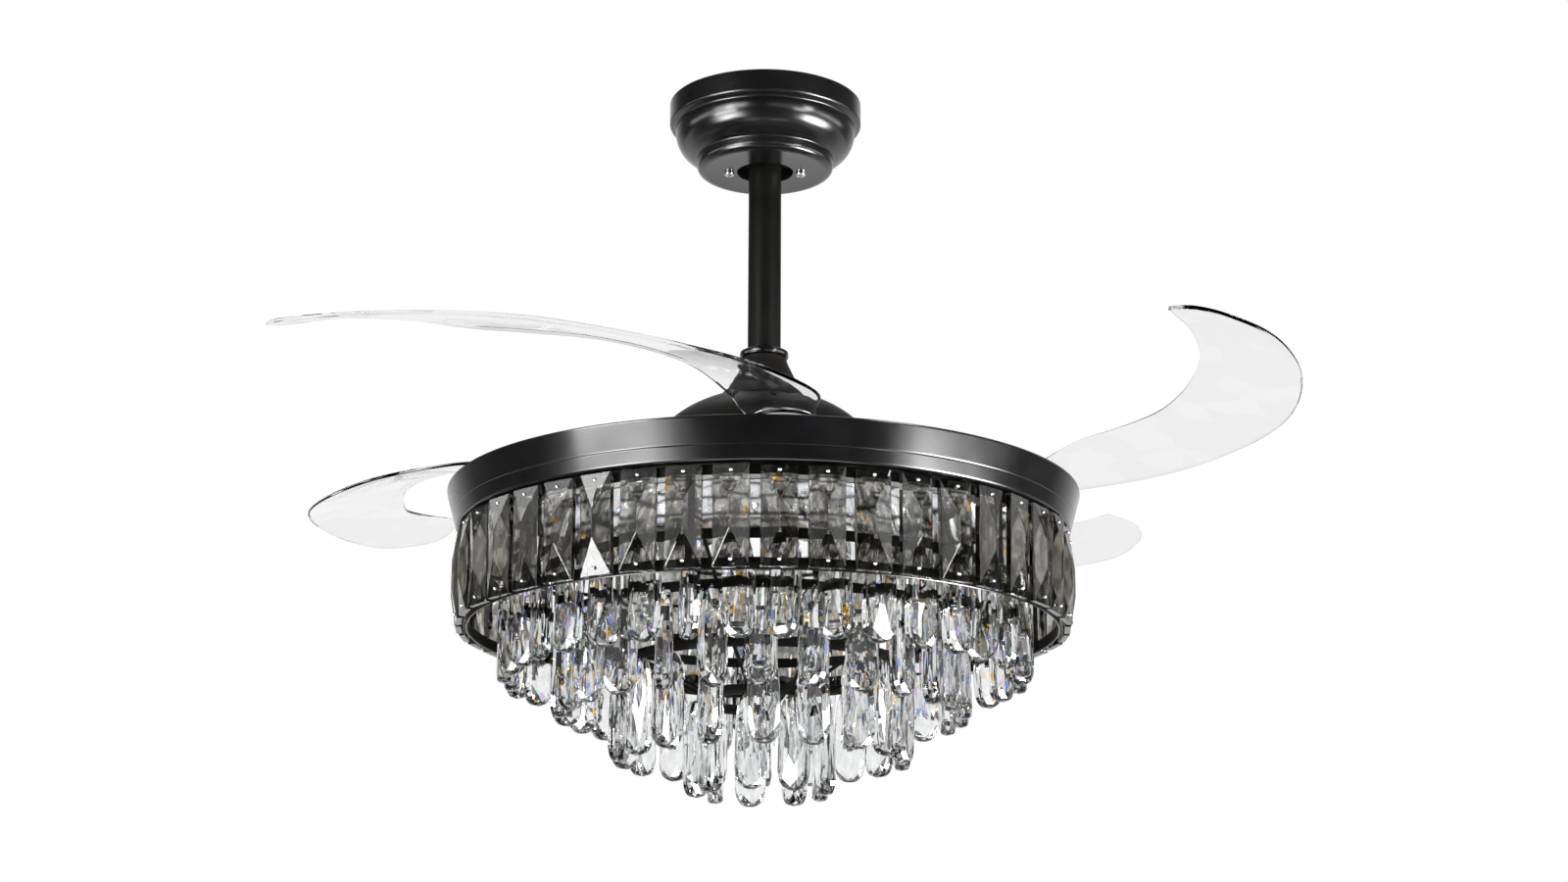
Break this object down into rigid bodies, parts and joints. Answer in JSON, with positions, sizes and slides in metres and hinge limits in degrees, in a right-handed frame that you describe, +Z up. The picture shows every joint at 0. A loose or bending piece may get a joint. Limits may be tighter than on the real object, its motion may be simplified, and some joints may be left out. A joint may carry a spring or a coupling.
{
  "type": "chandelier ceiling fan",
  "caption": "Chandelier ceiling fan: folding clear crescent blades turn above a black drum hung with smoke glass prisms and tiers of clear drops, under a short downrod and canopy.",
  "frame": {"origin": "middle of the hanger bracket's top face, which lies on the ceiling", "axes": "+Z up, along the rotor's axis; -Y is the side the picture shows; +X to the picture's right"},
  "size_m": [0.7808, 0.7808, 0.5741],
  "materials": {
    "satin_black": "satin black powder coat",
    "zinc_steel": "zinc plated steel",
    "bright_chrome": "bright plated",
    "copper_winding": "enamelled copper wire on a laminated core",
    "magnet_grey": "dull ferrite magnets",
    "white_plastic": "matt white",
    "black_plastic": "matt black",
    "opal_plastic": "opal diffuser",
    "clear_acrylic": "clear polished acrylic",
    "smoke_glass": "smoke grey cut glass",
    "clear_crystal": "clear cut glass"
  },
  "bodies": {
    "ceiling_mount": {"hanger_bracket": "zinc_steel", "canopy": "satin_black", "canopy_screw_left": "bright_chrome", "canopy_screw_right": "bright_chrome", "remote_receiver": "white_plastic"},
    "lamp": {"hanger_ball": "black_plastic", "ball_cross_pin": "zinc_steel", "downrod": "satin_black", "coupling_collar": "satin_black", "coupling_cover": "satin_black", "yoke_bolt": "zinc_steel", "motor_shaft": "zinc_steel", "motor_stator": "copper_winding", "upper_bearing": "zinc_steel", "lower_bearing": "zinc_steel", "drum_carrier": "satin_black", "carrier_nut": "zinc_steel", "drum_band": "satin_black", "led_tray": "white_plastic", "led_diffuser": "opal_plastic", "led_driver": "black_plastic", "crystal_frame": "satin_black", "smoke_prisms_1": "smoke_glass", "smoke_prisms_2": "smoke_glass", "smoke_prisms_3": "smoke_glass", "smoke_prisms_4": "smoke_glass", "smoke_prisms_5": "smoke_glass", "smoke_prisms_6": "smoke_glass", "smoke_prisms_7": "smoke_glass", "smoke_prisms_8": "smoke_glass", "smoke_prisms_9": "smoke_glass", "smoke_prisms_10": "smoke_glass", "smoke_prisms_11": "smoke_glass", "crystal_tier_1": "clear_crystal", "crystal_tier_2": "clear_crystal", "crystal_tier_3": "clear_crystal", "crystal_tier_4": "clear_crystal"},
    "rotor": {"motor_dome": "satin_black", "motor_base": "satin_black", "magnet_ring": "magnet_grey", "blade_plate": "zinc_steel"},
    "sync_ring": {"sync_gear": "zinc_steel"},
    "blade_arm_1": {"blade_1": "clear_acrylic", "blade_hub_1": "zinc_steel", "return_spring_1": "zinc_steel", "blade_cap_1": "bright_chrome"},
    "blade_arm_2": {"blade_2": "clear_acrylic", "blade_hub_2": "zinc_steel", "return_spring_2": "zinc_steel", "blade_cap_2": "bright_chrome"},
    "blade_arm_3": {"blade_3": "clear_acrylic", "blade_hub_3": "zinc_steel", "return_spring_3": "zinc_steel", "blade_cap_3": "bright_chrome"},
    "blade_arm_4": {"blade_4": "clear_acrylic", "blade_hub_4": "zinc_steel", "return_spring_4": "zinc_steel", "blade_cap_4": "bright_chrome"}
  },
  "joints": [
    {"name": "ball_tilt", "type": "hinge", "parent": "ceiling_mount", "child": "lamp", "pos_m": [0, 0, -0.031], "axis": [1, 0, 0], "range_deg": [-10, 10]},
    {"name": "rotor_spin", "type": "hinge", "parent": "lamp", "child": "rotor", "pos_m": [0, 0, -0.3], "axis": [0, 0, 1], "continuous": true},
    {"name": "blade_1_fold", "type": "hinge", "parent": "rotor", "child": "blade_arm_1", "pos_m": [0.16945, 0.01363, -0.3222], "axis": [0, 0, 1], "range_deg": [-90, 0]},
    {"name": "blade_2_fold", "type": "hinge", "parent": "rotor", "child": "blade_arm_2", "pos_m": [-0.01363, 0.16945, -0.3222], "axis": [0, 0, 1], "range_deg": [-90, 0]},
    {"name": "blade_3_fold", "type": "hinge", "parent": "rotor", "child": "blade_arm_3", "pos_m": [-0.16945, -0.01363, -0.3222], "axis": [0, 0, 1], "range_deg": [-90, 0]},
    {"name": "blade_4_fold", "type": "hinge", "parent": "rotor", "child": "blade_arm_4", "pos_m": [0.01363, -0.16945, -0.3222], "axis": [0, 0, 1], "range_deg": [-90, 0]},
    {"name": "sync_turn", "type": "hinge", "parent": "rotor", "child": "sync_ring", "pos_m": [0, 0, -0.3303], "axis": [0, 0, 1], "range_deg": [0, 22.5]}
  ],
  "couplings": [
    {"joint": "blade_2_fold", "follows": "blade_1_fold", "ratio": 1},
    {"joint": "blade_3_fold", "follows": "blade_1_fold", "ratio": 1},
    {"joint": "blade_4_fold", "follows": "blade_1_fold", "ratio": 1},
    {"joint": "sync_turn", "follows": "blade_1_fold", "ratio": -0.25}
  ]
}
